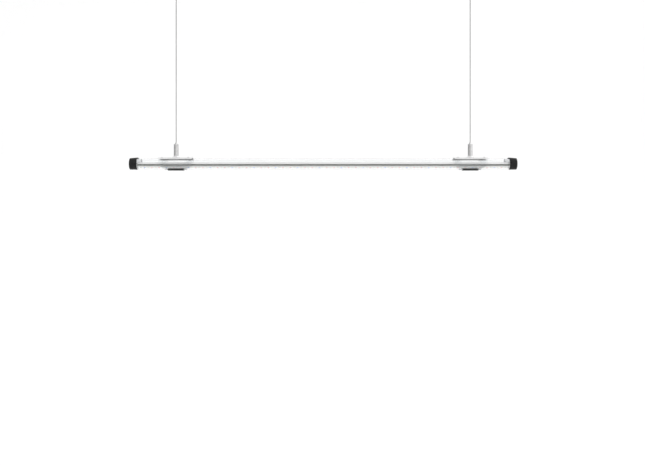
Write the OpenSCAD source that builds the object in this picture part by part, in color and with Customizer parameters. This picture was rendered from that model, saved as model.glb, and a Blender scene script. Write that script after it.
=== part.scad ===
// Hanging aquarium light: a clear round tube with an LED rail inside, held by two
// clips that climb two steel wires. X runs along the tube and +Z is up. The origin is
// on the ceiling, midway between the two ceiling fittings.

/* [Lamp] */
// Length of the lamp over its end caps
lamp_len = 1172; // [1100:2:1400]
// Outer diameter of the clear tube
tube_d = 34; // [33.5:0.5:35]
// Wall of the clear tube
tube_wall = 2; // [1.5:0.25:2]
// Number of LEDs in the row
led_count = 101; // [79:2:105]

/* [End caps] */
// Length of each end cap
cap_len = 23; // [23:1:30]
// Thickness of the cap's closed end
cap_floor = 3.5; // [3:0.5:4]
// Reach of the small tongue on top of each cap
tongue_len = 4; // [3:1:8]

/* [Suspension] */
// Distance between the two wires
wire_gap = 892; // [700:4:896]
// Height of the ceiling above the tube's axis
drop = 550; // [500:10:1500]
// Diameter of the wire
wire_d = 2; // [1.2:0.2:2]

/* [Clips] */
// Width of a clip along the tube
clip_w = 102; // [98:1:106]
// Width of each clear arm
arm_w = 21; // [18:1:24]
// Length of the lock bar
lock_w = 48; // [40:1:52]

/* [Power inlet] */
// Diameter of the socket's opening
inlet_d = 10; // [8:0.5:10]
// Depth of the socket's opening
inlet_depth = 11; // [9:0.5:11]

/* [Hidden] */

$fn = 64;
eps = 0.01;            // lets a cutter pass just beyond a face
slip = 0.05;           // gap between pieces that slide or fit together
axis_z = -drop;        // height of the tube's axis
half_len = lamp_len / 2;

// Tube, clip and end radii, from the tube outwards
tube_r = tube_d / 2;
bore_r = tube_r - tube_wall;
liner_r = tube_r + 0.65;
jaw_in = liner_r + 0.1;
jaw_out = jaw_in + 1.25;
bead_r = jaw_out + 0.5;
hook_r = jaw_out + 0.12;
lock_in = bead_r + 0.25;
lock_out = lock_in + 0.85;

// Heights in a clip, above the tube's axis
roof_low = tube_r + 0.4;
roof_top = roof_low + 1.3;
rail_low = roof_top - 4.7;
skirt_in = jaw_out + slip;
skirt_out = skirt_in + 1.4;
window_low = 1;
collar_top = roof_top + 6;
barrel_top = collar_top + 31.3;
gripper_top = barrel_top + 3.7;
plunger_top = gripper_top + 4.8;

// Gripper, from its axis outwards
barrel_r = 7.25;
chamber_r = 5.6;
shaft_r = 3.5;
cage_r = 3;
wire_r = wire_d / 2;
wire_hole_r = 1.35;
ball_r = 1.5;
ball_ring_r = 2.55;
cone_low = collar_top + 7.3;
cone_top = collar_top + 20.3;
ball_z = collar_top + 14.3;
flange_low = cone_top + 5.5;
flange_top = flange_low + 1.9;

// Ceiling fitting, downwards from the ceiling
base_r = 16;
base_floor = 3;
boss_r = 11;
boss_depth = 13;
screw_hole_r = 2.4;
cover_depth = 42;
seat_depth = 35;
ball_end_r = 4;
seat_r = 2.4;
swing_z = -seat_depth + 3.25;
wire_steps = 24;

// Lamp insides, heights from the tube's axis
plate_low = -8;
plate_top = -5.5;
rail_half = 12.2;
side_top = -1.6;
fin_top = 4.2;
board_t = 1.6;
board_half = 11.2;
board_low = plate_low - board_t;
rail_end = half_len - 16;
board_end = half_len - 19;
led_run = lamp_len - 67;
led_pitch = led_run / (led_count - 1);
led_size = 5;
led_base_t = 1;
dome_r = 2.1;

// End of the lamp: places along X are measured inwards from the outer face
plug_r = bore_r - slip;
plug_inner = 15.5;
plug_reach = 36;
dish_r = 21.5;
dish_x = 50.7;
pocket_r = 8.2;
pocket_depth = 14;
socket_r = 6.5;
socket_flange_r = 8;
socket_len = 13.5;
cap_screw_y = 11.3;
seal_x = 12.6;
seal_r = 0.95;
seal_groove = 1.9;
corner_r = 1.6;
lead_y = 1.5;
lead_r = 0.8;
lead_hole_x = half_len - 28;

// Points along a circular arc
function arc(cx, cy, r, from, to, steps) =
    [for (i = [0 : steps]) let (a = from + (to - from) * i / steps) [cx + r * cos(a), cy + r * sin(a)]];

function unit(v) = v / norm(v);

// Closed tube of radius r along a path, with a sideways direction given at each of its points
module sweep(path, sideways, r, sides) {
    last = len(path) - 1;
    rings = [for (i = [0 : last]) let (
        along = unit(path[min(i + 1, last)] - path[max(i - 1, 0)]),
        up = unit(cross(along, sideways[i])),
        out = cross(up, along)
    ) for (k = [0 : sides - 1]) path[i] + r * (cos(360 * k / sides) * out + sin(360 * k / sides) * up)];
    skin = [for (i = [0 : last - 1], k = [0 : sides - 1]) let (n = (k + 1) % sides)
        [i * sides + k, (i + 1) * sides + k, (i + 1) * sides + n, i * sides + n]];
    first = [[for (k = [0 : sides - 1]) k]];
    end = [[for (k = [0 : sides - 1]) (last + 1) * sides - 1 - k]];
    polyhedron(points = rings, faces = concat(skin, first, end), convexity = 4);
}

// Places: a hanger's wire, the tube's axis below it, and a cap's end of the lamp
module at_wire(side) {
    translate([side * wire_gap / 2, 0, 0]) children();
}

module at_clip(side) {
    translate([side * wire_gap / 2, 0, axis_z]) children();
}

module at_end(side) {
    translate([0, 0, axis_z]) mirror([side < 0 ? 1 : 0, 0, 0]) children();
}

// A profile drawn in Y and Z, drawn out along X, and one drawn in X and Z, drawn out along Y
module along_x(length) {
    rotate([90, 0, 90]) linear_extrude(length, center = true) children();
}

module along_y(width) {
    rotate([90, 0, 0]) linear_extrude(width, center = true) children();
}

// A round bar along X between two distances from the middle
module bar_x(r, from, to) {
    translate([from, 0, 0]) rotate([0, 90, 0]) cylinder(r = r, h = to - from);
}

// Ceiling fitting: base, cover, grommet, and the ball end that hangs in it

module ceiling_base(side) {
    color("gainsboro") at_wire(side) difference() {
        union() {
            translate([0, 0, -base_floor]) cylinder(r = base_r, h = base_floor);
            translate([0, 0, -boss_depth]) cylinder(r = boss_r, h = boss_depth);
        }
        translate([0, 0, -base_floor - eps]) cylinder(r = screw_hole_r, h = base_floor + 2 * eps);
        translate([0, 0, -boss_depth - eps]) cylinder(r = 7.5, h = boss_depth - base_floor + eps);
    }
}

module ceiling_cover(side) {
    wall_top = -base_floor - slip;
    shoulder = -15;
    color("silver") at_wire(side) rotate_extrude() polygon([
        [boss_r + slip, wall_top], [base_r, wall_top], [base_r, shoulder],
        [7.5, -cover_depth], [5, -cover_depth], [5, -seat_depth], [6, -seat_depth],
        [6, shoulder], [boss_r + slip, shoulder]
    ]);
}

module wire_grommet(side) {
    color("whitesmoke") at_wire(side) rotate_extrude() polygon([
        [seat_r, -seat_depth], [5 - slip, -seat_depth], [5 - slip, -cover_depth], [4.4, -cover_depth]
    ]);
}

module wire_ferrule(side) {
    color("silver") at_wire(side) difference() {
        union() {
            translate([0, 0, swing_z]) sphere(r = ball_end_r);
            translate([0, 0, swing_z]) cylinder(r = 2.6, h = 7.5);
        }
        translate([0, 0, swing_z - ball_end_r - 1]) cylinder(r = wire_r + slip, h = ball_end_r + 6);
    }
}

// The taut wire runs from inside the gripper up into its ball end
module suspension_wire(side) {
    low = axis_z + cone_low + 1.5;
    route = [for (i = [0 : wire_steps]) [0, 0, low + (swing_z + 3 - low) * i / wire_steps]];
    color("dimgray") at_wire(side) sweep(route, [for (p = route) [1, 0, 0]], wire_r, 8);
}

// Gripper: barrel, screwed cap, hard cone, balls and the plunger that frees them

module gripper_barrel(side) {
    chamber_low = collar_top + 6.3;
    color("silver") at_clip(side) difference() {
        union() {
            translate([0, 0, roof_top + 0.5]) cylinder(r = 3, h = 6);
            translate([0, 0, collar_top]) cylinder(r = barrel_r, h = barrel_top - collar_top);
        }
        translate([0, 0, chamber_low]) cylinder(r = chamber_r, h = barrel_top - chamber_low + eps);
    }
}

module gripper_cap(side) {
    color("silver") at_clip(side) difference() {
        union() {
            translate([0, 0, barrel_top]) cylinder(r = barrel_r, h = gripper_top - barrel_top);
            translate([0, 0, flange_top + slip]) cylinder(r = chamber_r - slip, h = barrel_top - flange_top);
        }
        translate([0, 0, flange_top - 1]) cylinder(r = shaft_r + slip, h = gripper_top - flange_top + 2);
    }
}

module grip_cone(side) {
    color("darkgray") at_clip(side) difference() {
        translate([0, 0, cone_low]) cylinder(r = chamber_r - slip, h = cone_top - cone_low);
        translate([0, 0, cone_low - eps]) cylinder(r1 = 4.97, r2 = 3.4, h = cone_top - cone_low + 2 * eps);
    }
}

module plunger_spring(side) {
    thick = 0.45;
    turns = 3;
    steps = 48;
    height = flange_low - cone_top - 2 * (thick + slip);
    turn = [for (i = [0 : steps]) 360 * turns * i / steps];
    coil = [for (i = [0 : steps]) [4.2 * cos(turn[i]), 4.2 * sin(turn[i]), height * i / steps]];
    color("lightgray") at_clip(side) translate([0, 0, cone_top + thick + slip])
        sweep(coil, [for (a = turn) [cos(a), sin(a), 0]], thick, 6);
}

module plunger(side) {
    cage_low = ball_z - 3;
    color("gainsboro") at_clip(side) difference() {
        union() {
            translate([0, 0, flange_low]) cylinder(r = shaft_r, h = plunger_top - flange_low);
            translate([0, 0, flange_low]) cylinder(r = 4.9, h = flange_top - flange_low);
            translate([0, 0, cage_low]) cylinder(r = cage_r, h = flange_low - cage_low + eps);
        }
        translate([0, 0, cage_low - 1]) cylinder(r = wire_hole_r, h = plunger_top - cage_low + 2);
        for (a = [0 : 120 : 240]) translate([0, 0, ball_z]) rotate([0, 90, a])
            cylinder(r = ball_r + slip, h = cage_r + 1);
    }
}

module grip_balls(side) {
    color("lightgray") at_clip(side) for (a = [0 : 120 : 240])
        rotate([0, 0, a]) translate([ball_ring_r, 0, ball_z]) sphere(r = ball_r);
}

// Clip: collar and saddle of metal, two clear jaws, screws, lock bar and liner

module clip_collar(side) {
    color("gainsboro") at_clip(side) difference() {
        union() {
            translate([0, 0, roof_low + 0.1]) cylinder(r = 5, h = 3);
            translate([0, 0, roof_top]) cylinder(r1 = 14.2, r2 = 8, h = collar_top - roof_top);
        }
        translate([0, 0, roof_low - 1]) cylinder(r = 3 + slip, h = collar_top - roof_low + 2);
    }
}

module clip_saddle(side) {
    color("lightgray") at_clip(side) difference() {
        along_x(clip_w) polygon([
            [-skirt_out, rail_low], [-skirt_in, rail_low], [-skirt_in, roof_low], [skirt_in, roof_low],
            [skirt_in, rail_low], [skirt_out, rail_low], [skirt_out, roof_top], [-skirt_out, roof_top]
        ]);
        translate([0, 0, roof_low - 1]) cylinder(r = 5 + slip, h = 4);
        clip_screw_places() translate([0, 0, roof_low - 1]) cylinder(r = 1.6, h = 4);
    }
}

module clip_screw_places() {
    for (x = [-1, 1], y = [-1, 1]) translate([x * (clip_w - arm_w - 2) / 2, y * 16.6, 0]) children();
}

// Outline of a jaw from the front: two arms over a shell that narrows below
module jaw_outline() {
    top = clip_w / 2 - 0.6;
    window = clip_w / 2 - 1 - arm_w;
    polygon([
        [-top, roof_low], [-top + 1, 4], [-top + 2, 0], [-top + 8, -12], [-top + 17, -15.4], [-top + 20, -22],
        [top - 20, -22], [top - 17, -15.4], [top - 8, -12], [top - 2, 0], [top - 1, 4], [top, roof_low],
        [window, roof_low], [window, window_low + 2], [window - 2, window_low],
        [2 - window, window_low], [-window, window_low + 2], [-window, roof_low]
    ]);
}

// Section of a jaw: a quarter shell, a straight arm and a block for the screws
module jaw_section() {
    seam = 0.1;
    difference() {
        union() {
            intersection() {
                circle(r = jaw_out);
                translate([seam, -jaw_out - 1]) square([jaw_out + 1, jaw_out + 1]);
            }
            intersection() {
                circle(r = bead_r);
                polygon([[0, 0], [bead_r * sin(25), -bead_r * cos(25)] * 2, [bead_r * sin(21), -bead_r * cos(21)] * 2]);
            }
            translate([jaw_in, -eps]) square([jaw_out - jaw_in, roof_low + eps]);
            translate([13.9, 12.6]) square([jaw_out - 13.9, roof_low - 12.6]);
        }
        circle(r = jaw_in);
    }
}

// facing is -1 for the front jaw and 1 for the rear one
module jaw(side, facing) {
    color("aliceblue", 0.6) at_clip(side) difference() {
        intersection() {
            along_x(clip_w) mirror([facing < 0 ? 1 : 0, 0]) jaw_section();
            along_y(2 * jaw_out + 8) jaw_outline();
        }
        clip_screw_places() translate([0, 0, roof_low - 4]) cylinder(r = 1.25, h = 5);
    }
}

module clip_screws(side) {
    color("silver") at_clip(side) clip_screw_places() {
        translate([0, 0, roof_low - 3.8]) cylinder(r = 1.2, h = 6);
        difference() {
            translate([0, 0, roof_top]) cylinder(r1 = 2.8, r2 = 2.2, h = 1.6);
            translate([0, 0, roof_top + 0.7]) cylinder(r = 1.1, h = 2, $fn = 6);
        }
    }
}

// The lock bar hooks behind the bead on each jaw and keeps the jaws together
module lock_bar(side) {
    edge = 31.5;
    color("black") at_clip(side) along_x(lock_w) intersection() {
        difference() {
            circle(r = lock_out);
            circle(r = hook_r);
            intersection() {
                circle(r = lock_in);
                polygon([[0, 0], [-sin(25.6), -cos(25.6)] * 40, [sin(25.6), -cos(25.6)] * 40]);
            }
        }
        polygon([[0, 0], [-sin(edge), -cos(edge)] * 40, [sin(edge), -cos(edge)] * 40]);
    }
}

module tube_liner(side) {
    reach = clip_w / 2 - 4;
    color("azure", 0.5) at_clip(side) intersection() {
        difference() {
            bar_x(liner_r, -reach, reach);
            bar_x(tube_r + slip, -reach - 1, reach + 1);
        }
        along_y(2 * tube_d) polygon([
            [-reach, 0], [-reach + 6, -12], [-reach + 15, -15.4], [-reach + 18, -22],
            [reach - 18, -22], [reach - 15, -15.4], [reach - 6, -12], [reach, 0]
        ]);
    }
}

// Lamp: tube, rail, board and LEDs

module housing_tube() {
    reach = half_len - cap_floor - slip;
    color("azure", 0.35) translate([0, 0, axis_z]) difference() {
        bar_x(tube_r, -reach, reach);
        bar_x(bore_r, -reach - 1, reach + 1);
    }
}

module rail_section() {
    wall = 1.6;
    translate([-rail_half, plate_low]) square([2 * rail_half, plate_top - plate_low]);
    for (s = [-1, 1]) {
        translate([s * (rail_half - wall / 2), (plate_low + side_top) / 2])
            square([wall, side_top - plate_low], center = true);
        for (y = [4, 8.2]) translate([s * y, (plate_low + fin_top) / 2])
            square([wall, fin_top - plate_low], center = true);
    }
}

module lead_holes() {
    for (s = [-1, 1]) translate([lead_hole_x, s * lead_y, board_low - 1])
        cylinder(r = lead_r + 0.3, h = board_t + plate_top - plate_low + 2);
}

module board_screw_places() {
    spacing = led_pitch * 18;
    for (i = [-2.5 : 2.5], s = [-1, 1]) translate([i * spacing, s * 6.1, 0]) children();
}

module carrier_rail() {
    color("darkgray") translate([0, 0, axis_z]) difference() {
        along_x(2 * rail_end) rail_section();
        lead_holes();
        board_screw_places() translate([0, 0, plate_low - 1]) cylinder(r = 1.05, h = 3);
    }
}

module led_board() {
    color("white") translate([0, 0, axis_z]) difference() {
        translate([-board_end, -board_half, board_low])
            cube([2 * board_end, 2 * board_half, board_t - slip / 2]);
        lead_holes();
        board_screw_places() translate([0, 0, board_low - 1]) cylinder(r = 1.25, h = 4);
    }
}

// One LED: a square base with a round lens below it
module led() {
    translate([-led_size / 2, -led_size / 2, board_low - led_base_t])
        cube([led_size, led_size, led_base_t - slip / 2]);
    translate([0, 0, board_low - led_base_t]) mirror([0, 0, 1]) rotate_extrude($fn = 32)
        intersection() {
            circle(r = dome_r);
            square(dome_r + 1);
        }
}

// Places in the row: every second LED is white, and of the rest one in three is blue
module leds_where(wanted) {
    translate([0, 0, axis_z]) for (i = [0 : led_count - 1])
        if (led_kind(i) == wanted) translate([i * led_pitch - led_run / 2, 0, 0]) led();
}

function led_kind(i) = i % 2 == 0 ? "white" : i % 6 == 1 ? "blue" : "red";

module white_leds() {
    color("ivory") leds_where("white");
}

module red_leds() {
    color("lightcoral") leds_where("red");
}

module blue_leds() {
    color("royalblue") leds_where("blue");
}

module board_screws() {
    color("silver") translate([0, 0, axis_z]) board_screw_places() {
        translate([0, 0, board_low - 0.5]) cylinder(r = 1, h = 3.5);
        translate([0, 0, board_low - 1]) cylinder(r1 = 1.6, r2 = 2, h = 1 - slip / 2);
    }
}

// Lamp ends: plug, seal ring, cap, screws and the power socket

module end_plug(side) {
    slot_low = plate_low - board_t - 0.3;
    color("white") at_end(side) difference() {
        bar_x(plug_r, half_len - plug_reach, half_len - cap_floor - slip);
        translate([half_len - dish_x, 0, 0]) sphere(r = dish_r);
        translate([half_len - plug_reach - 1, -rail_half - 0.3, slot_low])
            cube([plug_reach - plug_inner + 1, 2 * rail_half + 0.6, fin_top - slot_low + 0.3]);
        translate([half_len - plug_reach - 1, -plug_r - 1, -plug_r - 1])
            cube([plug_reach - cap_len + 1, 2 * plug_r + 2, plug_r + 1 + fin_top + 0.3]);
        bar_x(pocket_r, half_len - pocket_depth, half_len);
        translate([half_len - seal_x, 0, 0]) rotate([0, 90, 0]) difference() {
            cylinder(r = plug_r + 1, h = 2 * seal_r + 0.4, center = true);
            cylinder(r = plug_r - seal_groove, h = 2 * seal_r + 1, center = true);
        }
        for (s = [-1, 1]) translate([0, s * cap_screw_y, 0]) bar_x(1.5, half_len - 10, half_len);
        if (side > 0) translate([half_len - plug_inner - 1, -3.5, -6]) cube([3, 7, 7.5]);
    }
}

module seal_ring(side) {
    ring_r = plug_r - seal_groove + seal_r;
    color("dimgray") at_end(side) translate([half_len - seal_x, 0, 0]) rotate([0, 90, 0])
        rotate_extrude() translate([ring_r, 0]) circle(r = seal_r - 0.02, $fn = 32);
}

// Outer form of a cap, drawn from its mouth at 0 to its closed end
module cap_form() {
    mouth_r = tube_r + 0.9;
    end_r = tube_r + 0.5;
    rotate([0, 90, 0]) rotate_extrude() polygon(concat(
        [[0, 0], [mouth_r - 0.5, 0], [mouth_r, 0.5], [end_r, cap_len - corner_r]],
        arc(end_r - corner_r, cap_len - corner_r, corner_r, 10, 90, 6),
        [[0, cap_len]]
    ));
}

// Rib along the top of a cap, which runs on over the tube as a small tongue
module cap_rib() {
    peak = tube_r + 1.9;
    along_y(9) polygon([
        [-tongue_len, tube_r + 0.2], [-tongue_len, tube_r + 0.9], [-1, peak], [0, peak],
        [cap_len - 4, tube_r + 0.2], [cap_len - 4, 10], [0, 10], [0, tube_r + 0.2]
    ]);
}

module end_cap(side) {
    color([0.09, 0.09, 0.1]) at_end(side) difference() {
        translate([half_len - cap_len, 0, 0]) union() {
            cap_form();
            cap_rib();
        }
        bar_x(tube_r + slip, half_len - cap_len - 0.01, half_len - cap_floor);
        for (s = [-1, 1]) translate([0, s * cap_screw_y, 0]) {
            bar_x(1.6, half_len - cap_floor - 1, half_len + 1);
            bar_x(2.6, half_len - 1.8, half_len + 1);
        }
        if (side > 0) bar_x(socket_r + slip, half_len - cap_floor - 1, half_len + 1);
    }
}

module cap_screws(side) {
    color("silver") at_end(side) for (s = [-1, 1]) translate([0, s * cap_screw_y, 0]) difference() {
        union() {
            bar_x(1.4, half_len - 9.5, half_len - 1);
            bar_x(2.5, half_len - 1.75, half_len - 0.2);
        }
        translate([half_len - 1.2, 0, 0]) rotate([0, 90, 0]) cylinder(r = 1.1, h = 2, $fn = 6);
    }
}

module inlet_socket() {
    color([0.15, 0.15, 0.16]) at_end(1) difference() {
        union() {
            bar_x(socket_r, half_len - socket_len, half_len);
            bar_x(socket_flange_r, half_len - 8, half_len - cap_floor - 1.1);
        }
        bar_x(inlet_d / 2, half_len - inlet_depth, half_len + 1);
        for (s = [-1, 1]) translate([0, s * 2.2, 0]) bar_x(1.25, half_len - socket_len - 1, half_len - inlet_depth + 1);
    }
}

module inlet_gasket() {
    color("dimgray") at_end(1) difference() {
        bar_x(socket_flange_r, half_len - cap_floor - 1.05, half_len - cap_floor - slip);
        bar_x(socket_r + slip, half_len - cap_floor - 2, half_len);
    }
}

module inlet_contacts() {
    color("gold") at_end(1) for (s = [-1, 1]) translate([0, s * 2.2, 0])
        bar_x(1.2, half_len - socket_len - 0.5, half_len - inlet_depth);
}

// Two short leads from the socket, along the rail and down through the board
module lead_wires() {
    run_z = plate_top + lead_r + 0.1;
    route = concat(
        [[half_len - socket_len - 1, 2.2, 0], [half_len - 16.2, 1.9, -1.4], [half_len - 18, 1.6, run_z + 0.3]],
        [[half_len - 20, lead_y, run_z], [lead_hole_x + 1.5, lead_y, run_z]],
        [for (a = [30 : 30 : 90]) [lead_hole_x + 1.5 * (1 - sin(a)), lead_y, run_z - 1.5 * (1 - cos(a))]],
        [[lead_hole_x, lead_y, board_low - 0.6]]
    );
    color("crimson") at_end(1) for (s = [0, 1]) mirror([0, s, 0])
        sweep(route, [for (p = route) [0, 1, 0]], lead_r, 8);
}

ceiling_base(-1);  // left_ceiling_base
ceiling_base(1);  // right_ceiling_base
ceiling_cover(-1);  // left_ceiling_cover
ceiling_cover(1);  // right_ceiling_cover
wire_grommet(-1);  // left_wire_grommet
wire_grommet(1);  // right_wire_grommet
wire_ferrule(-1);  // left_wire_ferrule
wire_ferrule(1);  // right_wire_ferrule
suspension_wire(-1);  // left_suspension_wire
suspension_wire(1);  // right_suspension_wire
gripper_barrel(-1);  // left_gripper_barrel
gripper_barrel(1);  // right_gripper_barrel
gripper_cap(-1);  // left_gripper_cap
gripper_cap(1);  // right_gripper_cap
grip_cone(-1);  // left_grip_cone
grip_cone(1);  // right_grip_cone
plunger_spring(-1);  // left_plunger_spring
plunger_spring(1);  // right_plunger_spring
plunger(-1);  // left_plunger
plunger(1);  // right_plunger
grip_balls(-1);  // left_grip_balls
grip_balls(1);  // right_grip_balls
clip_collar(-1);  // left_clip_collar
clip_collar(1);  // right_clip_collar
clip_saddle(-1);  // left_clip_saddle
clip_saddle(1);  // right_clip_saddle
jaw(-1, -1);  // left_front_jaw
jaw(1, -1);  // right_front_jaw
jaw(-1, 1);  // left_rear_jaw
jaw(1, 1);  // right_rear_jaw
clip_screws(-1);  // left_clip_screws
clip_screws(1);  // right_clip_screws
lock_bar(-1);  // left_lock_bar
lock_bar(1);  // right_lock_bar
tube_liner(-1);  // left_tube_liner
tube_liner(1);  // right_tube_liner
housing_tube();
carrier_rail();
led_board();
white_leds();
red_leds();
blue_leds();
board_screws();
end_plug(-1);  // left_end_plug
end_plug(1);  // right_end_plug
seal_ring(-1);  // left_seal_ring
seal_ring(1);  // right_seal_ring
end_cap(-1);  // left_end_cap
end_cap(1);  // right_end_cap
cap_screws(-1);  // left_cap_screws
cap_screws(1);  // right_cap_screws
inlet_socket();
inlet_gasket();
inlet_contacts();
lead_wires();
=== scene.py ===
"""Looks of the hanging aquarium light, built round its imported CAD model."""

import math

import bmesh
import bpy
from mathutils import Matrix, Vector


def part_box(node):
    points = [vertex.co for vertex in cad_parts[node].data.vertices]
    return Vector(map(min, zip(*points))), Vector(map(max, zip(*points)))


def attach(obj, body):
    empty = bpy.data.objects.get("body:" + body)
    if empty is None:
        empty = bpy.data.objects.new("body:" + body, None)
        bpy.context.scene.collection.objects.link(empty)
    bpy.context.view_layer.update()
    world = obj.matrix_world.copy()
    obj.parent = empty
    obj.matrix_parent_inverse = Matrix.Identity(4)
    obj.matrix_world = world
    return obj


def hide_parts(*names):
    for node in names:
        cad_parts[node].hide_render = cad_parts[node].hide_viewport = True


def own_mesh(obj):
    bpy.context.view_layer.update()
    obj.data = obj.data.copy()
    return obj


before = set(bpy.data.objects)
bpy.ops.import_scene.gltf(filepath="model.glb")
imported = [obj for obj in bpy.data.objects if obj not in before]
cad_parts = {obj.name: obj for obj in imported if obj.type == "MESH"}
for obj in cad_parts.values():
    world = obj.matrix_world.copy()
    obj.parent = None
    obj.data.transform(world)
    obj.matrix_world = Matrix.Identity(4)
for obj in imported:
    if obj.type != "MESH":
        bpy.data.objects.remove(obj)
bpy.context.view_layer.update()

MM = 0.001
SIDES = ("left", "right")
X, Y, Z = Vector((1, 0, 0)), Vector((0, 1, 0)), Vector((0, 0, 1))


def middle(node):
    low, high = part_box(node)
    return (low + high) / 2


TUBE = middle("housing_tube")
AXIS_Z = TUBE.z
WIRE = {side: middle(side + "_suspension_wire") for side in SIDES}


# Camera, in front of the lamp and a little below it

CAMERA_X = -0.002
CAMERA_DISTANCE = 2.403
CAMERA_BELOW_AXIS = 0.0885
LENS_MM = 44.2
SENSOR_MM = 36
VIEW_BELOW_HORIZON = 0.0612


def add_camera():
    data = bpy.data.cameras.new("camera")
    data.sensor_width = SENSOR_MM
    data.lens = LENS_MM
    data.shift_y = -VIEW_BELOW_HORIZON
    data.dof.use_dof = False
    camera = bpy.data.objects.new("camera", data)
    camera.location = (CAMERA_X, -CAMERA_DISTANCE, AXIS_Z - CAMERA_BELOW_AXIS)
    camera.rotation_euler = (math.pi / 2, 0, 0)
    bpy.context.scene.collection.objects.link(camera)
    bpy.context.scene.camera = camera


# Materials

EVEN = (1, 1, 1)


class Look:
    """A Principled material, varied by textures in the piece's own space."""

    def __init__(self, name, colour, roughness, metallic=0.0, **sockets):
        self.material = bpy.data.materials.new(name)
        self.material.use_nodes = True
        self.tree = self.material.node_tree
        self.shader = self.tree.nodes["Principled BSDF"]
        self.shader.inputs["Base Color"].default_value = (*colour, 1)
        self.shader.inputs["Roughness"].default_value = roughness
        self.shader.inputs["Metallic"].default_value = metallic
        for socket, value in sockets.items():
            self.shader.inputs[socket.replace("_", " ")].default_value = value
        self.place = self.node("ShaderNodeTexCoord").outputs["Object"]

    def node(self, kind, **values):
        made = self.tree.nodes.new(kind)
        for key, value in values.items():
            if hasattr(made, key):
                setattr(made, key, value)
            else:
                made.inputs[key.replace("_", " ")].default_value = value
        return made

    def link(self, output, target):
        self.tree.links.new(output, target)

    def turned(self, axis):
        """From here on textures run in rings about the piece's own z or x axis, as lathe marks do."""
        parts = self.node("ShaderNodeSeparateXYZ")
        self.link(self.place, parts.inputs[0])
        flat = self.node("ShaderNodeCombineXYZ")
        across = ("X", "Y") if axis == "z" else ("Y", "Z")
        for name in across:
            self.link(parts.outputs[name], flat.inputs[name])
        length = self.node("ShaderNodeVectorMath", operation="LENGTH")
        self.link(flat.outputs[0], length.inputs[0])
        rings = self.node("ShaderNodeCombineXYZ")
        self.link(length.outputs["Value"], rings.inputs["X"])
        self.link(parts.outputs["Z" if axis == "z" else "X"], rings.inputs["Y"])
        self.place = rings.outputs[0]

    def noise(self, size_mm, stretch=EVEN, detail=3.0):
        """Noise with features of about size_mm, longer by stretch along each axis."""
        mapping = self.node("ShaderNodeMapping")
        mapping.inputs["Scale"].default_value = [1 / (size_mm * MM * s) for s in stretch]
        self.link(self.place, mapping.inputs["Vector"])
        texture = self.node("ShaderNodeTexNoise", Scale=1.0, Detail=detail)
        self.link(mapping.outputs[0], texture.inputs["Vector"])
        return texture.outputs["Fac"]

    def ramp(self, value, low, high, start=0.3, end=0.7):
        """Colour that goes from low to high as value goes from start to end."""
        made = self.node("ShaderNodeValToRGB")
        made.color_ramp.elements[0].position = start
        made.color_ramp.elements[0].color = (*low, 1)
        made.color_ramp.elements[1].position = end
        made.color_ramp.elements[1].color = (*high, 1)
        self.link(value, made.inputs[0])
        return made.outputs[0]

    def colours(self, value, low, high, start=0.3, end=0.7):
        self.link(self.ramp(value, low, high, start, end), self.shader.inputs["Base Color"])

    def roughness(self, value, low, high):
        made = self.node("ShaderNodeMapRange", From_Min=0.25, From_Max=0.75, To_Min=low, To_Max=high)
        self.link(value, made.inputs["Value"])
        self.link(made.outputs[0], self.shader.inputs["Roughness"])

    def bump(self, value, depth_mm):
        """Relief of about depth_mm."""
        made = self.node("ShaderNodeBump", Strength=1.0, Distance=depth_mm * MM)
        self.link(value, made.inputs["Height"])
        self.link(made.outputs[0], self.shader.inputs["Normal"])


def grey(value):
    return (value, value, value)


def metal(name, tone, roughness, turned=None, stretch=EVEN, tint=0.0, marks=0.006, metallic=1.0):
    """Plated or bare metal with fine tool marks, smudges and a slight change of tone."""
    look = Look(name, grey(tone), roughness, metallic)
    smudge = look.noise(9, detail=4)
    low = (tone * 0.86, tone * 0.86, tone * (0.86 - tint))
    look.colours(smudge, low, (tone, tone, tone * (1 - tint)))
    if turned:
        look.turned(turned)
    line = look.noise(0.16, stretch, detail=4)
    look.roughness(line, roughness * 0.75, roughness * 1.35)
    look.bump(line, marks)
    return look.material


def rubber(name, tone, roughness, grain_mm=0.35, depth=0.03):
    """Moulded black or grey rubber or plastic with a fine grain, dust and worn gloss."""
    look = Look(name, grey(tone), roughness, Specular_IOR_Level=0.2)
    look.colours(look.noise(6, detail=5), grey(tone * 0.7), grey(tone * 1.4 + 0.002))
    look.roughness(look.noise(2.5, detail=5), roughness * 0.82, roughness * 1.15)
    look.bump(look.noise(grain_mm, detail=2), depth)
    return look.material


def moulded(name, colour, roughness, **sockets):
    """Light moulded plastic or lacquer with a faint cloud of tone and a soft skin."""
    look = Look(name, colour, roughness, **sockets)
    shade = tuple(c * 0.93 for c in colour)
    look.colours(look.noise(7, detail=4), shade, colour)
    look.roughness(look.noise(1.2, detail=4), roughness * 0.8, roughness * 1.2)
    look.bump(look.noise(0.5, detail=3), 0.012)
    return look.material


def clear(name, colour, roughness, ior, haze_mm, depth, stretch=EVEN):
    """Clear plastic. Its faint ripple or haze is in the relief and the roughness."""
    look = Look(name, colour, roughness, Transmission_Weight=1.0, IOR=ior)
    ripple = look.noise(haze_mm, stretch, detail=3)
    look.roughness(ripple, roughness * 0.6, roughness * 1.5)
    look.bump(ripple, depth)
    return look.material


def lens(name, colour, glow, strength):
    """Lens of an LED, which the chip in it lights a little."""
    look = Look(name, colour, 0.18, Coat_Weight=0.5, Coat_Roughness=0.08)
    look.colours(look.noise(0.8, detail=3), tuple(c * 0.9 for c in colour), colour)
    look.bump(look.noise(0.6, detail=2), 0.01)
    look.shader.inputs["Emission Color"].default_value = (*glow, 1)
    look.shader.inputs["Emission Strength"].default_value = strength
    return look.material


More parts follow.
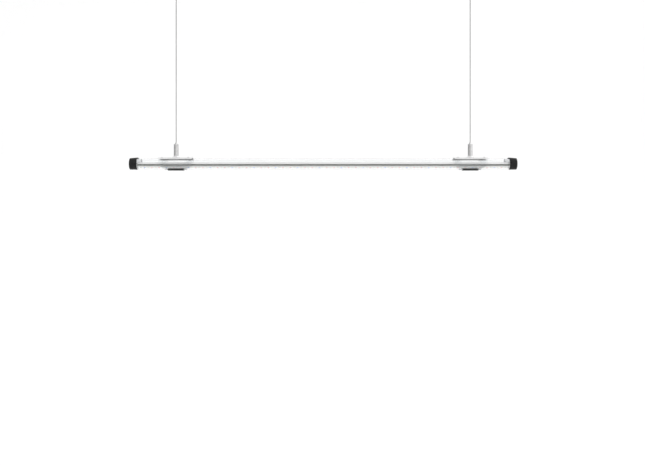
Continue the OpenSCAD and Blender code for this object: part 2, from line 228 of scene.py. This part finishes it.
def rope_steel():
    """Fine steel rope, with painted shade that darkens it towards the ceiling, and drawn lines along each
    strand.
    """
    look = Look("rope_steel", grey(0.1), 0.4, 0.25, Specular_IOR_Level=0.1)
    height = look.node("ShaderNodeSeparateXYZ")
    look.link(look.place, height.inputs[0])
    # Painted shade: the rope's colour gets darker with height, towards the ceiling, on top of random
    # blotches.
    height_shade = look.node("ShaderNodeMapRange", From_Min=-0.08, From_Max=-0.48, To_Min=0.2, To_Max=0.75)
    look.link(height.outputs["Z"], height_shade.inputs["Value"])
    blotch_and_height_shade = look.node("ShaderNodeMath", operation="MULTIPLY_ADD")
    blotch_and_height_shade.inputs[1].default_value = 0.25
    look.link(look.noise(5, (1, 1, 3), detail=5), blotch_and_height_shade.inputs[0])
    look.link(height_shade.outputs[0], blotch_and_height_shade.inputs[2])
    look.colours(blotch_and_height_shade.outputs[0], grey(0.002), grey(0.1), 0.35, 1.0)
    line = look.noise(0.09, (1, 1, 12), detail=3)
    look.roughness(line, 0.28, 0.5)
    look.bump(line, 0.006)
    return look.material


# Painted shade band on the rail, in mm: its middle below the tube's axis, its half height, and where it
# has faded out

BAND_BELOW_AXIS = 3.7
BAND_HALF = 1.9
BAND_EDGE = 2.2


def rail_with_painted_shade():
    """Bright extruded rail with a darker olive band of painted shade along its side walls."""
    look = Look("rail_with_painted_shade", grey(0.5), 0.42, 0.65)
    streak = look.noise(0.35, (400, 1, 1), detail=4)
    height = look.node("ShaderNodeSeparateXYZ")
    look.link(look.place, height.inputs[0])
    # Painted shade: a dark olive band at a fixed height along the side walls, fading at its edges to the
    # rail's own light grey.
    band = look.node("ShaderNodeMath", operation="SUBTRACT")
    look.link(height.outputs["Z"], band.inputs[0])
    band.inputs[1].default_value = AXIS_Z - BAND_BELOW_AXIS * MM
    away = look.node("ShaderNodeMath", operation="ABSOLUTE")
    look.link(band.outputs[0], away.inputs[0])
    step = look.node("ShaderNodeMapRange", From_Min=BAND_HALF * MM, From_Max=BAND_EDGE * MM)
    look.link(away.outputs[0], step.inputs["Value"])
    # Painted shade colour: dark olive, for the side walls in shadow.
    shade_colour = look.ramp(streak, (0.01, 0.02, 0.003), (0.022, 0.036, 0.01))
    light = look.ramp(streak, grey(0.86), grey(0.96))
    mix = look.node("ShaderNodeMix", data_type="RGBA")
    look.link(step.outputs[0], mix.inputs[0])
    look.link(shade_colour, mix.inputs[6])
    look.link(light, mix.inputs[7])
    look.link(mix.outputs[2], look.shader.inputs["Base Color"])
    look.roughness(streak, 0.34, 0.5)
    look.bump(streak, 0.008)
    return look.material


LOOKS = {
    "fitting_nickel": metal("satin_nickel", 0.72, 0.3, "z"),
    "grommet_white": moulded("nylon_white", (0.86, 0.86, 0.84), 0.42, Subsurface_Weight=0.15),
    "ferrule_steel": metal("turned_steel", 0.6, 0.32, "z"),
    "wire_rope": rope_steel(),
    "gripper_nickel": metal("gripper_nickel", 0.6, 0.27, "z"),
    "hard_steel": metal("ground_steel", 0.66, 0.16, "z", marks=0.003),
    "spring_steel": metal("spring_steel", 0.5, 0.25, stretch=(1, 1, 2)),
    "plunger_nickel": metal("plunger_nickel", 0.78, 0.24, "z"),
    "collar_nickel": metal("collar_nickel", 0.86, 0.26, "z"),
    "saddle_metal": metal("brushed_sheet", 0.8, 0.36, stretch=(60, 1, 1), metallic=0.4),
    "jaw_clear": clear("jaw_clear", (0.945, 0.955, 0.96), 0.09, 1.46, 4, 0.002),
    "screw_steel": metal("screw_steel", 0.58, 0.28),
    "lock_black": rubber("lock_black", 0.012, 0.42, depth=0.012),
    "liner_clear": clear("liner_clear", (0.98, 0.983, 0.983), 0.06, 1.42, 3.0, 0.002),
    "tube_clear": clear("tube_clear", (0.985, 0.99, 0.99), 0.02, 1.49, 12, 0.001, (30, 1, 1)),
    "rail_aluminium": rail_with_painted_shade(),
    "board_white": moulded("solder_mask", (0.86, 0.87, 0.84), 0.34),
    "plug_white": moulded("plug_white", (0.84, 0.85, 0.86), 0.45),
    "seal_grey": rubber("seal_rubber", 0.06, 0.5),
    "cap_black": rubber("cap_rubber", 0.007, 0.4, grain_mm=0.5, depth=0.012),
    "socket_black": rubber("socket_black", 0.03, 0.38),
    "contact_brass": metal("gold_flash", 0.78, 0.22, "x", tint=0.45),
    "lead_red": moulded("lead_sleeve", (0.55, 0.035, 0.03), 0.38),
    "led_white": lens("lens_white", (0.9, 0.88, 0.76), (1.0, 0.97, 0.88), 0.25),
    "led_red": lens("lens_red", (0.85, 0.3, 0.25), (1.0, 0.45, 0.4), 0.35),
    "led_blue": lens("lens_blue", (0.22, 0.34, 0.88), (0.4, 0.55, 1.0), 0.35),
}
LED_BODY = moulded("led_ceramic", (0.9, 0.9, 0.87), 0.36)
SOLDER = metal("solder", 0.62, 0.3)
RESISTOR = rubber("resistor_black", 0.035, 0.35)


# Mesh building. A piece's mesh is in metres and its object stands at place, in the row frame.
# An outline is a list of points (radius, height) in mm; a third number rounds that corner.


def finish_piece(piece, body, slot, nodes=(), sharp=38):
    """Shades the piece, gives it its slot's finish, ties it to its CAD body, and hides the CAD nodes it
    stands for.
    """
    mesh = piece.data
    mesh.shade_smooth()
    mesh.set_sharp_from_angle(angle=math.radians(sharp))
    if not mesh.materials:
        mesh.materials.append(LOOKS[slot])
    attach(piece, body)
    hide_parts(*nodes)
    return piece


def new_piece(name, points, faces, place=(0, 0, 0)):
    mesh = bpy.data.meshes.new(name)
    mesh.from_pydata([Vector(p) for p in points], [], faces)
    mesh.update()
    work = bmesh.new()
    work.from_mesh(mesh)
    bmesh.ops.recalc_face_normals(work, faces=work.faces)
    work.to_mesh(mesh)
    work.free()
    piece = bpy.data.objects.new(name, mesh)
    piece.location = place
    bpy.context.scene.collection.objects.link(piece)
    return piece


def rounded_outline(points, steps=4):
    """The outline with its corners rounded; no corner takes more than 0.45 of an edge."""
    made = []
    for i, corner in enumerate(points):
        here = Vector(corner[:2])
        back = Vector(points[i - 1][:2]) - here
        ahead = Vector(points[(i + 1) % len(points)][:2]) - here
        radius = corner[2] if len(corner) > 2 else 0
        turn = back.angle(ahead)
        if radius <= 0 or turn > math.radians(175):
            made.append(tuple(here))
            continue
        cut = min(radius / math.tan(turn / 2), 0.45 * back.length, 0.45 * ahead.length)
        start, end = here + back.normalized() * cut, here + ahead.normalized() * cut
        for k in range(steps + 1):
            t = k / steps
            made.append(tuple((1 - t) ** 2 * start + 2 * t * (1 - t) * here + t * t * end))
    return made


def arc(radius, degrees):
    """Points of an outline on a circle about the origin, one for each of the degrees."""
    return [(radius * math.cos(math.radians(a)), radius * math.sin(math.radians(a))) for a in degrees]


def lathe_mesh(outline, sides, axis=Z):
    """Points and faces of a closed outline turned about axis."""
    u, v = (X, Y) if axis == Z else (Y, Z)
    points, faces, rings = [], [], []
    for r, h in outline:
        on_axis = r < 1e-4
        if on_axis:
            rings.append([len(points)] * sides)
            points.append(axis * h * MM)
            continue
        rings.append([len(points) + k for k in range(sides)])
        for k in range(sides):
            a = 2 * math.pi * k / sides
            points.append((u * math.cos(a) + v * math.sin(a)) * r * MM + axis * h * MM)
    for i, ring in enumerate(rings):
        after = rings[(i + 1) % len(rings)]
        for k in range(sides):
            n = (k + 1) % sides
            face = []
            for p in (ring[k], ring[n], after[n], after[k]):
                if p not in face:
                    face.append(p)
            if len(face) > 2:
                faces.append(face)
    return points, faces


def lathe(name, outline, place, sides=96, axis=Z, steps=4):
    points, faces = lathe_mesh(rounded_outline(outline, steps), sides, axis)
    return new_piece(name, points, faces, place)


def tube_along(path, sideways, r, sides):
    """Points and faces of a closed tube of radius r along path, with a sideways direction per point."""
    points, faces = [], []
    last = len(path) - 1
    for i, here in enumerate(path):
        along = (path[min(i + 1, last)] - path[max(i - 1, 0)]).normalized()
        up = along.cross(sideways[i]).normalized()
        out = up.cross(along)
        for k in range(sides):
            a = 2 * math.pi * k / sides
            points.append(here + r * (math.cos(a) * out + math.sin(a) * up))
    for i in range(last):
        for k in range(sides):
            n = (k + 1) % sides
            faces.append([i * sides + k, i * sides + n, (i + 1) * sides + n, (i + 1) * sides + k])
    faces.append(list(range(sides))[::-1])
    faces.append([last * sides + k for k in range(sides)])
    return points, faces


def gather(parts):
    """Several (points, faces) as one."""
    points, faces = [], []
    for some_points, some_faces in parts:
        start = len(points)
        points.extend(some_points)
        faces.extend([[start + p for p in face] for face in some_faces])
    return points, faces


def bevel(work, edges, width, segments):
    bmesh.ops.bevel(
        work,
        geom=edges,
        offset=width * MM,
        segments=segments,
        affect="EDGES",
        profile=0.5,
        clamp_overlap=True,
    )


def eased(node, name, width, place=(0, 0, 0), wide=None, wide_width=0, angle=35, segments=3):
    """A new piece in the CAD node's shape, its edges rounded.

    Edges sharper than angle degrees are rounded by width mm, and by wide_width mm where wide says so.
    """
    work = bmesh.new()
    work.from_mesh(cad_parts[node].data)
    bmesh.ops.remove_doubles(work, verts=work.verts, dist=2e-6)
    bmesh.ops.dissolve_limit(work, angle_limit=math.radians(0.4), verts=work.verts, edges=work.edges)

    def sharp_edges(which):
        return [
            e
            for e in work.edges
            if len(e.link_faces) == 2
            and e.calc_face_angle(0) > math.radians(angle)
            and which((e.verts[0].co + e.verts[1].co) / 2)
        ]

    if wide:
        bevel(work, sharp_edges(wide), wide_width, 6)
    bevel(work, sharp_edges(lambda p: True), width, segments)
    bmesh.ops.dissolve_degenerate(work, dist=1e-7, edges=work.edges)
    bmesh.ops.translate(work, verts=work.verts, vec=-Vector(place))
    mesh = bpy.data.meshes.new(name)
    work.to_mesh(mesh)
    work.free()
    piece = bpy.data.objects.new(name, mesh)
    piece.location = place
    bpy.context.scene.collection.objects.link(piece)
    piece.modifiers.new("normals", "WEIGHTED_NORMAL").keep_sharp = True
    return piece


def cut(piece, cutters):
    """Takes the cutters out of the piece and deletes them."""
    for cutter in cutters:
        step = piece.modifiers.new("cut", "BOOLEAN")
        step.operation = "DIFFERENCE"
        step.solver = "EXACT"
        step.object = cutter
    bpy.context.view_layer.update()
    ready = piece.evaluated_get(bpy.context.evaluated_depsgraph_get())
    mesh = bpy.data.meshes.new_from_object(ready)
    piece.modifiers.clear()
    piece.data = mesh
    for cutter in cutters:
        bpy.data.objects.remove(cutter)


def under_wire(side):
    """The place on the tube's axis that is straight below a wire."""
    return Vector((WIRE[side].x, TUBE.y, AXIS_Z))


# Suspension wires. Their route is the one in the CAD, in metres.

ROUTE_LOW, ROUTE_HIGH = -0.5165, -0.02875
ROUTE_LENGTH = ROUTE_HIGH - ROUTE_LOW
ROUTE_STEPS = 24
ROPE_R = 1.0 * MM
STRAND_R = ROPE_R / 3
LAY = 13.0 * MM
RINGS_PER_LAY = 9


def rope_strand(start, ring):
    """One strand, which winds at ring metres from the rope's axis and begins start of a turn round it."""
    steps = round(ROUTE_LENGTH / LAY * RINGS_PER_LAY)
    path, sideways = [], []
    for i in range(steps + 1):
        along = ROUTE_LENGTH * i / steps
        turn = 2 * math.pi * (along / LAY + start)
        out = Vector((math.cos(turn), math.sin(turn), 0))
        path.append(Z * (ROUTE_LOW + along) + out * ring)
        sideways.append(out)
    return tube_along(path, sideways, STRAND_R, 6)


def add_rope(side):
    """Six strands round a straight core."""
    x = WIRE[side].x
    rise = ROUTE_LENGTH / ROUTE_STEPS
    route = [(x, 0.0, ROUTE_LOW + rise * i) for i in range(ROUTE_STEPS + 1)]
    strands = [rope_strand(k / 6, 2 * STRAND_R) for k in range(6)]
    core = rope_strand(0, 0)
    rope = new_piece(side + "_rope", *gather([*strands, core]), place=(x, 0, 0))
    finish_piece(rope, "wires", "wire_rope", [side + "_suspension_wire"], sharp=80)
    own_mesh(rope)
    return rope, route


def add_ferrule(side):
    """Ball end with a grooved, crimped neck above it."""
    ball_r = 4.0
    outline = [
        (1.06, -3.7), (1.5, -3.72), *arc(ball_r, range(-62, 50, 8)),
        (2.6, 3.3, 0.3), (2.6, 4.2), (2.45, 4.35), (2.6, 4.5),
        (2.6, 5.4), (2.45, 5.55), (2.6, 5.7), (2.6, 7.5, 0.4), (1.06, 7.5, 0.1),
    ]
    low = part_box(side + "_wire_ferrule")[0]
    ferrule = lathe(side + "_ball_end", outline, (WIRE[side].x, 0, low.z + ball_r * MM), 64)
    return finish_piece(ferrule, "wires", "ferrule_steel", [side + "_wire_ferrule"])


def add_cords():
    for side in SIDES:
        rope, route = add_rope(side)
        ferrule = add_ferrule(side)


# Ceiling fittings


def add_ceiling_fitting(side):
    """Disc screwed to the ceiling, cone over it, and the grommet that the wire leaves the cone through."""
    place = (WIRE[side].x, 0, 0)
    disc = [
        (2.4, 0, 0.2), (16, 0, 0.2), (16, -3, 0.3), (11, -3),
        (11, -13, 0.5), (7.5, -13, 0.5), (7.5, -3, 0.3), (2.4, -3, 0.3),
    ]
    base = lathe(side + "_ceiling_disc", disc, place)
    finish_piece(base, "ceiling", "fitting_nickel", [side + "_ceiling_base"])
    cone = [
        (11.05, -3.05, 0.2), (16, -3.05, 0.4), (16, -5.2, 0.1), (15.7, -5.5, 0.1), (16, -5.8, 0.1),
        (16, -15, 2.6), (7.5, -42, 1.2), (5, -42, 0.3), (5, -35), (6, -35), (6, -15), (11.05, -15),
    ]
    cover = lathe(side + "_ceiling_cone", cone, place, steps=6)
    finish_piece(cover, "ceiling", "fitting_nickel", [side + "_ceiling_cover"])
    bush = [(2.4, -35, 0.2), (4.95, -35, 0.1), (4.95, -42, 0.1), (4.4, -42, 0.3)]
    grommet = lathe(side + "_cone_grommet", bush, place, 64)
    finish_piece(grommet, "ceiling", "grommet_white", [side + "_wire_grommet"])


# Grippers, in mm. Heights are above the tube's axis.

CONE_TOP = 45
SPRING_TURNS = 3
SPRING_R = 4.2
SPRING_WIRE_R = 0.45
CAGE_HEIGHT = 39.0
CAGE_R = 2.55
CAGE_BALL_R = 1.5
CAGE_HOLE_R = 1.55


def add_gripper(side):
    """Barrel on the clip's collar, cap in its mouth, and the hard cone that the balls jam against."""
    place = under_wire(side)
    outside = [
        (0, 18.0), (3, 18.0, 0.3), (3, 24.7), (6.3, 24.7), (7.25, 25.6, 0.3), (7.25, 53.4, 0.1),
        (7.05, 53.6, 0.05), (7.05, 54.1, 0.05), (7.25, 54.3, 0.1), (7.25, 56.0, 0.15),
    ]
    bore = [(5.6, 56.0, 0.1), (5.6, 31, 0.4), (0, 31)]
    barrel = lathe(side + "_barrel", outside + bore, place)
    finish_piece(barrel, "hangers", "gripper_nickel", [side + "_gripper_barrel"])
    lid = [
        (3.55, 59.7, 0.5), (7.25, 59.7, 0.8), (7.25, 56.05, 0.15),
        (5.55, 56.0), (5.55, 52.45, 0.2), (3.55, 52.45, 0.2),
    ]
    cap = lathe(side + "_barrel_cap", lid, place, steps=6)
    finish_piece(cap, "hangers", "gripper_nickel", [side + "_gripper_cap"])
    sleeve = [(4.97, 32, 0.2), (5.55, 32, 0.3), (5.55, CONE_TOP, 0.3), (3.4, CONE_TOP, 0.2)]
    cone = lathe(side + "_cone_sleeve", sleeve, place, 64)
    finish_piece(cone, "hangers", "hard_steel", [side + "_grip_cone"])


def add_spring(side):
    """Coil spring that stands on the cone."""
    low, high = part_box(side + "_plunger_spring")
    wire_r = SPRING_WIRE_R * MM
    height = high.z - low.z - 2 * wire_r
    steps = 32 * SPRING_TURNS
    path, sideways = [], []
    for i in range(steps + 1):
        turn = 2 * math.pi * SPRING_TURNS * i / steps
        out = Vector((math.cos(turn), math.sin(turn), 0))
        path.append(out * SPRING_R * MM + Z * (height * i / steps))
        sideways.append(out)
    spring = new_piece(
        side + "_coil_spring",
        *tube_along(path, sideways, wire_r, 10),
        place=(WIRE[side].x, 0, low.z + wire_r),
    )
    finish_piece(spring, "hangers", "spring_steel", [side + "_plunger_spring"])
    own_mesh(spring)


def ball(centre, r):
    points, faces = lathe_mesh([(0, -r), *arc(r, range(-75, 90, 15)), (0, r)], 24)
    return [p + centre for p in points], faces


def add_plunger(side):
    """Release plunger: rounded tip above, flange, and a cage whose three holes hold the balls."""
    place = under_wire(side)
    outside = [
        (1.35, 64.5, 0.4), (3.5, 64.5, 0.9), (3.5, 61.6, 0.05), (3.35, 61.45, 0.05),
        (3.5, 61.3, 0.05), (3.5, 52.4), (4.9, 52.4, 0.15), (4.9, 50.5, 0.15),
        (3.0, 50.5), (3.0, 36.0, 0.3), (1.35, 36.0, 0.2),
    ]
    tip = lathe(side + "_release_tip", outside, place, 64)
    centre = Z * CAGE_HEIGHT * MM
    cutters, balls = [], []
    for a in (0, 120, 240):
        out = Vector((math.cos(math.radians(a)), math.sin(math.radians(a)), 0))
        balls.append(ball(centre + out * CAGE_R * MM, CAGE_BALL_R))
        hole = [centre + out * 0.3 * MM, centre + out * 4.2 * MM]
        points, faces = tube_along(hole, [Z, Z], CAGE_HOLE_R * MM, 32)
        cutters.append(new_piece("cutter", points, faces, place))
    cut(tip, cutters)
    finish_piece(tip, side + "_release", "plunger_nickel", [side + "_plunger"])
    grip = new_piece(side + "_balls", *gather(balls), place=place)
    finish_piece(grip, side + "_release", "hard_steel", [side + "_grip_balls"])


# Clips


def add_collar(side):
    """Flared collar on the saddle, under the gripper."""
    flare = [
        (3.05, 24.7, 0.3), (8.0, 24.7, 0.4), (8.35, 23.6), (9.2, 22.2), (10.6, 20.7), (12.6, 19.4),
        (14.2, 18.95, 0.1), (14.2, 18.7), (5, 18.7), (5, 17.5, 0.2), (3.05, 17.5, 0.2),
    ]
    collar = lathe(side + "_collar", flare, under_wire(side))
    finish_piece(collar, "hangers", "collar_nickel", [side + "_clip_collar"])


def add_saddle(side):
    """Folded sheet, whose two long bends on top are rounder than its other edges."""
    node = side + "_clip_saddle"
    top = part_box(node)[1].z

    def outer_bend(p):
        return p.z > top - 0.1 * MM and abs(p.y) > 20 * MM

    saddle = eased(node, side + "_saddle", 0.22, middle(node), wide=outer_bend, wide_width=1.25)
    finish_piece(saddle, "hangers", "saddle_metal", [node])


def add_clip(side):
    add_collar(side)
    add_saddle(side)
    for jaw in ("front", "rear"):
        node = f"{side}_{jaw}_jaw"
        piece = eased(node, f"{side}_{jaw}_clip_arm", 0.2, middle(node))
        piece.visible_shadow = False
        finish_piece(piece, "hangers", "jaw_clear", [node])
    node = side + "_clip_screws"
    screws = eased(node, side + "_clip_screw_set", 0.12, middle(node), angle=20)
    finish_piece(screws, "hangers", "screw_steel", [node])
    node = side + "_lock_bar"
    lock = eased(node, side + "_lock", 0.22, middle(node))
    finish_piece(lock, side + "_lock", "lock_black", [node])
    node = side + "_tube_liner"
    liner = eased(node, side + "_liner", 0.08, middle(node), segments=2)
    liner.visible_shadow = False
    finish_piece(liner, "liners", "liner_clear", [node])


# Lamp, in mm

TUBE_WALL = 2
TUBE_STRETCHES = 60
LED_COUNT = 101
LED_HALF = 2.5
LENS_R = 2.1
LENS_RISE = 1.98
RESISTORS_EACH_WAY = 16
RESISTOR_PITCH = 33.15


def add_tube():
    """Clear tube, divided along its length because glass renders badly on very long faces."""
    low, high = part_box("housing_tube")
    half = (high.x - low.x) / 2 / MM
    r = (high.z - low.z) / 2 / MM
    bore = r - TUBE_WALL
    last = TUBE_STRETCHES // 2
    stations = [half * k / last for k in range(1 - last, last)]
    outer = [(r, x) for x in stations]
    inner = [(bore, x) for x in reversed(stations)]
    wall = [(r, -half, 0.2), *outer, (r, half, 0.2), (bore, half, 0.2), *inner, (bore, -half, 0.2)]
    tube = lathe("clear_tube", wall, TUBE, 128, axis=X, steps=2)
    tube.visible_shadow = False
    finish_piece(tube, "lamp", "tube_clear", ["housing_tube"])


def rounded_square(half, corner, z):
    """Loop of points in metres of a square with rounded corners, from sizes in mm."""
    loop = []
    steps = 3
    flat = half - corner
    for quarter, (x, y) in enumerate(((flat, flat), (-flat, flat), (-flat, -flat), (flat, -flat))):
        for k in range(steps + 1):
            a = math.pi / 2 * (quarter + k / steps)
            loop.append(Vector((x + corner * math.cos(a), y + corner * math.sin(a), z)) * MM)
    return loop


def block(low, high):
    """Points in metres and faces of a box between two corners in mm."""
    around = ((low[0], low[1]), (high[0], low[1]), (high[0], high[1]), (low[0], high[1]))
    points = [Vector((x, y, z)) * MM for z in (high[2], low[2]) for x, y in around]
    return points, [[0, 1, 2, 3], [7, 6, 5, 4], [0, 4, 5, 1], [1, 5, 6, 2], [2, 6, 7, 3], [3, 7, 4, 0]]


def led_parts():
    """One LED below the board: body, lens and two solder tabs, each as points and faces from its top."""
    loops = [
        rounded_square(LED_HALF, 0.5, 0),
        rounded_square(LED_HALF, 0.5, -0.85),
        rounded_square(2.36, 0.42, -1.0),
    ]
    size = len(loops[0])
    points = [p for loop in loops for p in loop]
    faces = []
    for i in range(2):
        upper, lower = i * size, (i + 1) * size
        for k in range(size):
            n = (k + 1) % size
            faces.append([upper + k, upper + n, lower + n, lower + k])
    faces.append(list(range(size)))
    faces.append([2 * size + k for k in range(size)])
    tabs = [block((x - 0.25, -1, -0.55), (x + 0.25, 1, 0)) for x in (-LED_HALF, LED_HALF)]
    foot = -1.1
    dome = [(LENS_R * c, foot - LENS_RISE * s) for c, s in arc(1, range(15, 90, 15))]
    outline = [(0, -0.95), (LENS_R, -0.95), (LENS_R, foot), *dome, (0, foot - LENS_RISE)]
    return (points, faces), lathe_mesh(outline, 24), gather(tabs)


def led_colour(i):
    """Every other LED is white, and of the rest one in three is blue."""
    if i % 2 == 0:
        return "white"
    return "blue" if i % 6 == 1 else "red"


def add_leds():
    """The row of LEDs, one piece for each colour."""
    led = led_parts()
    half_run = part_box("white_leds")[1].x - LED_HALF * MM
    pitch = 2 * half_run / (LED_COUNT - 1)
    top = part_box("led_board")[0].z
    for colour in ("white", "red", "blue"):
        parts, kinds = [], []
        for i in range(LED_COUNT):
            if led_colour(i) != colour:
                continue
            shift = Vector((i * pitch - half_run, 0, top))
            for index, (points, faces) in enumerate(led):
                parts.append(([p + shift for p in points], faces))
                kinds.extend([index] * len(faces))
        piece = new_piece(colour + "_led_row", *gather(parts))
        for look in (LED_BODY, LOOKS["led_" + colour], SOLDER):
            piece.data.materials.append(look)
        piece.data.polygons.foreach_set("material_index", kinds)
        finish_piece(piece, "lamp", "led_" + colour, [colour + "_leds"], sharp=50)


def add_board_parts():
    """Under the board: a resistor for every third LED, with its solder joints, and two coated tracks."""
    low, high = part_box("led_board")
    half = (high.x - low.x) / 2 / MM
    parts, kinds = [], []
    for i in range(-RESISTORS_EACH_WAY, RESISTORS_EACH_WAY + 1):
        x = i * RESISTOR_PITCH
        parts.append(block((x - 0.9, 5.4, -0.45), (x + 0.9, 6.6, 0.02)))
        parts.append(block((x - 1.3, 5.3, -0.3), (x - 0.85, 6.7, 0.02)))
        parts.append(block((x + 0.85, 5.3, -0.3), (x + 1.3, 6.7, 0.02)))
        kinds += [0] * 6 + [1] * 12
    for y in (-4.4, 4.4):
        parts.append(block((4 - half, y - 0.6, -0.06), (half - 4, y + 0.6, 0.02)))
        kinds += [2] * 6
    piece = new_piece("board_parts", *gather(parts), place=((low.x + high.x) / 2, 0, low.z))
    for look in (RESISTOR, SOLDER, LOOKS["board_white"]):
        piece.data.materials.append(look)
    piece.data.polygons.foreach_set("material_index", kinds)
    finish_piece(piece, "lamp", "board_white")


def add_rail_and_board():
    rail = eased("carrier_rail", "finned_rail", 0.18, segments=2)
    finish_piece(rail, "lamp", "rail_aluminium", ["carrier_rail"])
    board = eased("led_board", "board", 0.12, segments=2)
    finish_piece(board, "lamp", "board_white", ["led_board"])
    screws = eased("board_screws", "board_screw_set", 0.1, angle=20, segments=2)
    finish_piece(screws, "lamp", "screw_steel", ["board_screws"])


def add_lamp_end(side):
    """Plug with its O-ring, and the cap over them with its two screws."""
    node = side + "_end_plug"
    plug = eased(node, side + "_plug", 0.25, middle(node))
    finish_piece(plug, "lamp", "plug_white", [node])
    node = side + "_seal_ring"
    section = [(14 + r, x) for r, x in arc(0.93, range(0, 360, 24))]
    seal = lathe(side + "_o_ring", section, middle(node), axis=X)
    finish_piece(seal, "lamp", "seal_grey", [node])
    node = side + "_cap_screws"
    screws = eased(node, side + "_cap_screw_pair", 0.12, middle(node), angle=20)
    finish_piece(screws, "lamp", "screw_steel", [node])
    node = side + "_end_cap"
    cap = eased(node, side + "_cap", 0.35, middle(node), angle=25)
    finish_piece(cap, "lamp", "cap_black", [node])


def add_inlet():
    for node, name, width, slot in (
        ("inlet_socket", "power_socket", 0.25, "socket_black"),
        ("inlet_gasket", "socket_gasket", 0.1, "seal_grey"),
        ("inlet_contacts", "socket_pins", 0.3, "contact_brass"),
    ):
        finish_piece(eased(node, name, width, middle(node)), "lamp", slot, [node])
    leads = eased("lead_wires", "leads", 0.05, middle("lead_wires"), angle=70)
    finish_piece(leads, "lamp", "lead_red", ["lead_wires"], sharp=60)


# Stage and light, in metres

FLOOR_BELOW_AXIS = 0.708


def add_stage():
    """Seamless pale floor and back wall."""
    floor = AXIS_Z - FLOOR_BELOW_AXIS
    bend, wall, top = 0.9, 3.4, 3.0
    profile = [(-5.0, floor), (-2.5, floor), (0.0, floor)]
    for i in range(17):
        a = math.pi / 2 * i / 16
        profile.append((wall - bend + bend * math.sin(a), floor + bend - bend * math.cos(a)))
    profile.append((wall, top))
    points = [Vector((x, y, z)) for y, z in profile for x in (-6, 6)]
    faces = [[2 * i, 2 * i + 1, 2 * i + 3, 2 * i + 2] for i in range(len(profile) - 1)]
    stage = new_piece("floor_and_backdrop", points, faces)
    look = Look("paper", (0.8, 0.8, 0.8), 0.7, Specular_IOR_Level=0.2)
    look.colours(look.noise(900, detail=2), grey(0.79), grey(0.81))
    look.shader.inputs["Emission Color"].default_value = (1, 1, 1, 1)
    look.shader.inputs["Emission Strength"].default_value = 0.21
    stage.data.shade_smooth()
    stage.data.materials.append(look.material)


def add_light(name, place, aim, size, power):
    data = bpy.data.lights.new(name, "AREA")
    data.shape = "RECTANGLE"
    data.size, data.size_y = size
    data.energy = power
    light = bpy.data.objects.new(name, data)
    light.location = place
    light.rotation_euler = (Vector(aim) - Vector(place)).to_track_quat("-Z", "Y").to_euler()
    bpy.context.scene.collection.objects.link(light)


def add_world():
    """White room, darker at its left and brighter overhead, so that round metal shows its form."""
    world = bpy.data.worlds.new("studio")
    bpy.context.scene.world = world
    world.use_nodes = True
    tree = world.node_tree
    background = tree.nodes["Background"]
    coordinates = tree.nodes.new("ShaderNodeTexCoord")
    parts = tree.nodes.new("ShaderNodeSeparateXYZ")
    ramp = tree.nodes.new("ShaderNodeValToRGB")
    ramp.color_ramp.elements[0].position = 0.0
    ramp.color_ramp.elements[0].color = (*grey(0.38), 1)
    ramp.color_ramp.elements[1].position = 1.0
    ramp.color_ramp.elements[1].color = (*grey(0.9), 1)
    for position, value in ((0.15, 0.78), (0.55, 0.84), (0.9, 1.35)):
        ramp.color_ramp.elements.new(position).color = (*grey(value), 1)
    remap = tree.nodes.new("ShaderNodeMapRange")
    remap.inputs["From Min"].default_value = -1
    tree.links.new(coordinates.outputs["Generated"], parts.inputs[0])
    tree.links.new(parts.outputs["X"], remap.inputs["Value"])
    tree.links.new(remap.outputs[0], ramp.inputs[0])
    tree.links.new(ramp.outputs[0], background.inputs["Color"])
    overhead = tree.nodes.new("ShaderNodeMapRange")
    for socket, value in (("From Min", 0.3), ("From Max", 0.7), ("To Min", 1.0), ("To Max", 1.15)):
        overhead.inputs[socket].default_value = value
    tree.links.new(parts.outputs["Z"], overhead.inputs["Value"])
    tree.links.new(overhead.outputs[0], background.inputs["Strength"])


def add_lights():
    add_world()
    add_light("key", (-1.6, -1.8, 1.2), (0, 0, -0.5), (1.6, 1.6), 5)
    add_light("right_strip", (1.9, -1.6, -0.3), (0, 0, -0.5), (0.7, 1.8), 3)
    scene = bpy.context.scene
    scene.view_settings.view_transform = "Standard"
    scene.view_settings.look = "None"


add_camera()
add_cords()
for side in SIDES:
    add_ceiling_fitting(side)
    add_gripper(side)
    add_spring(side)
    add_plunger(side)
    add_clip(side)
    add_lamp_end(side)
add_tube()
add_rail_and_board()
add_board_parts()
add_leds()
add_inlet()
add_stage()
add_lights()
